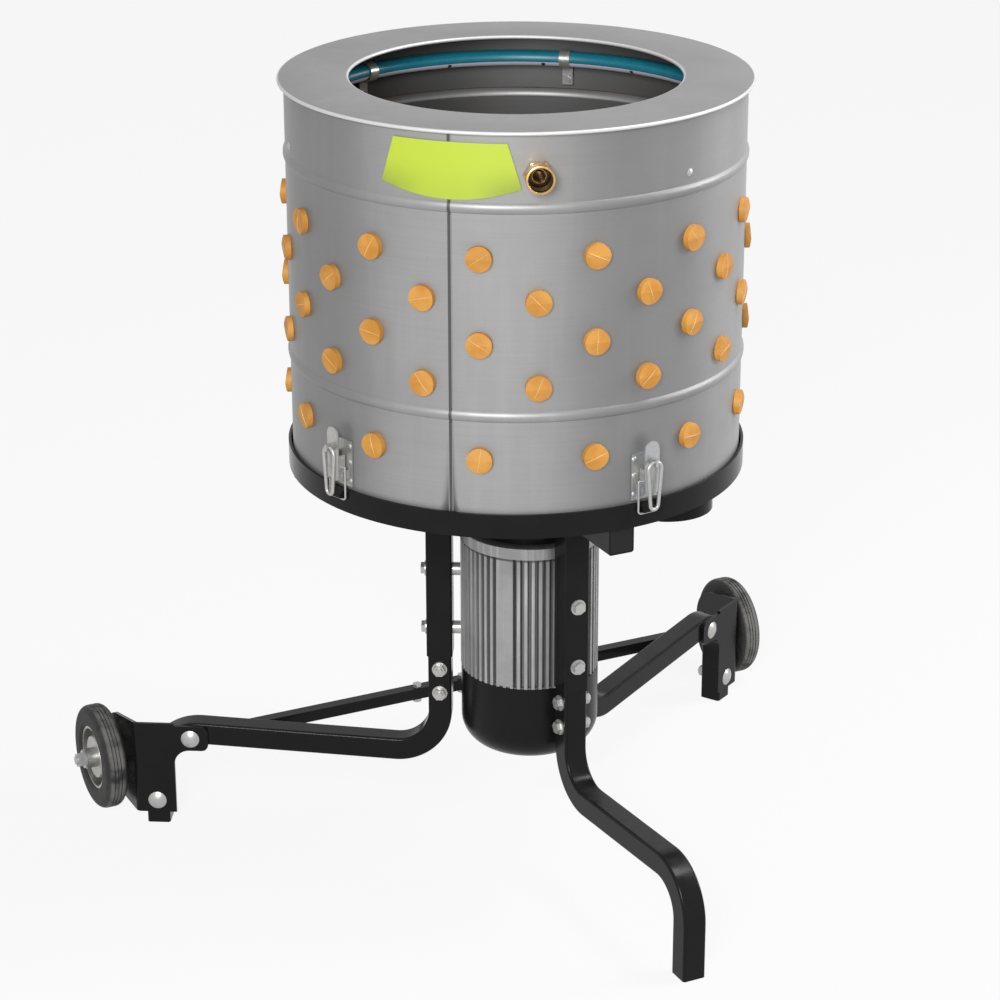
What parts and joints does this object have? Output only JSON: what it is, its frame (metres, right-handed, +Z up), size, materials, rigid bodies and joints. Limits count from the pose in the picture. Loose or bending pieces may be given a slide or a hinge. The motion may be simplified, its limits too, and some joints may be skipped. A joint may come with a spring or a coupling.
{
  "type": "poultry plucker",
  "caption": "Drum poultry plucker: sheet metal drum lined with rubber fingers above a geared spinning feather plate, on a wheeled leg frame with motor, spray hose and toggle latches.",
  "frame": {"origin": "on the floor, at the middle of the overall plan", "axes": "+Z up, the front leg points to -Y, the wheel axles lie along X"},
  "size_m": [0.9308, 0.732, 0.909],
  "materials": {
    "drum_sheet": "galvanised sheet",
    "flange_sheet": "galvanised sheet",
    "finger_rubber": "satin natural rubber",
    "badge": "gloss",
    "hose": "gloss",
    "zinc": "bright zinc",
    "brass": "turned",
    "black_coat": "gloss powder coat",
    "black_plastic": "matte",
    "motor_alloy": "die cast",
    "cover_coat": "gloss",
    "stator_iron": "varnished laminations and copper",
    "steel": "turned",
    "plate_sheet": "galvanised sheet",
    "green_button": "gloss",
    "red_button": "gloss",
    "hub_zinc": "bright zinc",
    "tyre_rubber": "matte"
  },
  "bodies": {
    "frame": {"drum_shell": "drum_sheet", "top_flange": "flange_sheet", "drum_fingers": "finger_rubber", "badge_plate": "badge", "spray_hose": "hose", "hose_clips": "zinc", "rivets": "zinc", "latch_bases": "zinc", "small_bolts": "zinc", "motor_bolts": "zinc", "motor_spacers": "zinc", "leg_bolts": "zinc", "frame_nuts": "zinc", "wheel_bolts": "zinc", "hose_fitting": "brass", "base_pan": "black_coat", "latch_catches": "black_coat", "feather_outlet": "black_coat", "base_beams": "black_coat", "posts": "black_coat", "front_leg": "black_coat", "left_leg": "black_coat", "right_leg": "black_coat", "brace_bar": "black_coat", "wheel_brackets": "black_coat", "gear_housing": "black_coat", "tube_plugs": "black_plastic", "switch_box": "black_plastic", "cable_gland": "black_plastic", "motor_housing": "motor_alloy", "end_shield": "motor_alloy", "fan_cover": "cover_coat", "stator": "stator_iron", "bearings": "steel"},
    "plate": {"output_shaft": "steel", "feather_plate": "plate_sheet", "plate_fingers": "finger_rubber", "plate_nut": "zinc"},
    "middle": {"middle_gear": "steel"},
    "rotor": {"motor_shaft": "steel", "rotor_core": "steel", "cooling_fan": "black_plastic"},
    "left_wheel": {"left_hub": "hub_zinc", "left_tyre": "tyre_rubber"},
    "right_wheel": {"right_hub": "hub_zinc", "right_tyre": "tyre_rubber"},
    "start": {"start_button": "green_button"},
    "stop": {"stop_button": "red_button"},
    "lever_1": {"lever_1": "zinc"},
    "bail_1": {"bail_1": "zinc"},
    "ring_1": {"snap_ring_1": "zinc"},
    "lever_2": {"lever_2": "zinc"},
    "bail_2": {"bail_2": "zinc"},
    "ring_2": {"snap_ring_2": "zinc"},
    "lever_3": {"lever_3": "zinc"},
    "bail_3": {"bail_3": "zinc"},
    "ring_3": {"snap_ring_3": "zinc"},
    "lever_4": {"lever_4": "zinc"},
    "bail_4": {"bail_4": "zinc"},
    "ring_4": {"snap_ring_4": "zinc"}
  },
  "joints": [
    {"name": "plate_spin", "type": "hinge", "parent": "frame", "child": "plate", "pos_m": [-0.01386, 0.0355, 0.5], "axis": [0, 0, 1], "continuous": true},
    {"name": "middle_spin", "type": "hinge", "parent": "frame", "child": "middle", "pos_m": [-0.01172, 0.00057, 0.42], "axis": [0, 0, 1], "continuous": true},
    {"name": "rotor_spin", "type": "hinge", "parent": "frame", "child": "rotor", "pos_m": [0, 0.0275, 0.3], "axis": [0, 0, 1], "continuous": true},
    {"name": "left_wheel_spin", "type": "hinge", "parent": "frame", "child": "left_wheel", "pos_m": [-0.43305, 0.3035, 0.068], "axis": [1, 0, 0], "continuous": true},
    {"name": "right_wheel_spin", "type": "hinge", "parent": "frame", "child": "right_wheel", "pos_m": [0.43305, 0.3035, 0.068], "axis": [1, 0, 0], "continuous": true},
    {"name": "start_press", "type": "slide", "parent": "frame", "child": "start", "axis": [-0.2588, -0.9659, 0], "range_m": [0, 0.004], "stiffness_N_per_m": 400, "springref_m": -0.001},
    {"name": "stop_press", "type": "slide", "parent": "frame", "child": "stop", "axis": [-0.2588, -0.9659, 0], "range_m": [0, 0.004], "stiffness_N_per_m": 400, "springref_m": -0.001},
    {"name": "lever_1_hinge", "type": "hinge", "parent": "frame", "child": "lever_1", "pos_m": [0.01487, -0.2209, 0.5135], "axis": [0.9938, 0.1113, 0], "range_deg": [0, 135]},
    {"name": "bail_1_hinge", "type": "hinge", "parent": "lever_1", "child": "bail_1", "pos_m": [0.01476, -0.2199, 0.5235], "axis": [0.9938, 0.1113, 0], "range_deg": [-135, 0]},
    {"name": "ring_1_hinge", "type": "hinge", "parent": "lever_1", "child": "ring_1", "pos_m": [0.01598, -0.23083, 0.5465], "axis": [0.9938, 0.1113, 0], "range_deg": [-135, 0]},
    {"name": "lever_2_hinge", "type": "hinge", "parent": "frame", "child": "lever_2", "pos_m": [0.21569, 0.15328, 0.5135], "axis": [-0.4565, 0.8897, 0], "range_deg": [0, 135]},
    {"name": "bail_2_hinge", "type": "hinge", "parent": "lever_2", "child": "bail_2", "pos_m": [0.2148, 0.15282, 0.5235], "axis": [-0.4565, 0.8897, 0], "range_deg": [-135, 0]},
    {"name": "ring_2_hinge", "type": "hinge", "parent": "lever_2", "child": "ring_2", "pos_m": [0.22459, 0.15784, 0.5465], "axis": [-0.4565, 0.8897, 0], "range_deg": [-135, 0]},
    {"name": "lever_3_hinge", "type": "hinge", "parent": "frame", "child": "lever_3", "pos_m": [-0.10311, 0.27757, 0.5135], "axis": [-0.9383, -0.3459, 0], "range_deg": [0, 135]},
    {"name": "bail_3_hinge", "type": "hinge", "parent": "lever_3", "child": "bail_3", "pos_m": [-0.10276, 0.27663, 0.5235], "axis": [-0.9383, -0.3459, 0], "range_deg": [-135, 0]},
    {"name": "ring_3_hinge", "type": "hinge", "parent": "lever_3", "child": "ring_3", "pos_m": [-0.10657, 0.28695, 0.5465], "axis": [-0.9383, -0.3459, 0], "range_deg": [-135, 0]},
    {"name": "lever_4_hinge", "type": "hinge", "parent": "frame", "child": "lever_4", "pos_m": [-0.26245, -0.03351, 0.5135], "axis": [0.2675, -0.9636, 0], "range_deg": [0, 135]},
    {"name": "bail_4_hinge", "type": "hinge", "parent": "lever_4", "child": "bail_4", "pos_m": [-0.26149, -0.03325, 0.5235], "axis": [0.2675, -0.9636, 0], "range_deg": [-135, 0]},
    {"name": "ring_4_hinge", "type": "hinge", "parent": "lever_4", "child": "ring_4", "pos_m": [-0.27209, -0.03619, 0.5465], "axis": [0.2675, -0.9636, 0], "range_deg": [-135, 0]}
  ],
  "couplings": [
    {"joint": "middle_spin", "follows": "plate_spin", "ratio": -1.9167},
    {"joint": "rotor_spin", "follows": "plate_spin", "ratio": 5.0128},
    {"joint": "bail_1_hinge", "follows": "lever_1_hinge", "ratio": -1},
    {"joint": "ring_1_hinge", "follows": "lever_1_hinge", "ratio": -1},
    {"joint": "bail_2_hinge", "follows": "lever_2_hinge", "ratio": -1},
    {"joint": "ring_2_hinge", "follows": "lever_2_hinge", "ratio": -1},
    {"joint": "bail_3_hinge", "follows": "lever_3_hinge", "ratio": -1},
    {"joint": "ring_3_hinge", "follows": "lever_3_hinge", "ratio": -1},
    {"joint": "bail_4_hinge", "follows": "lever_4_hinge", "ratio": -1},
    {"joint": "ring_4_hinge", "follows": "lever_4_hinge", "ratio": -1}
  ]
}
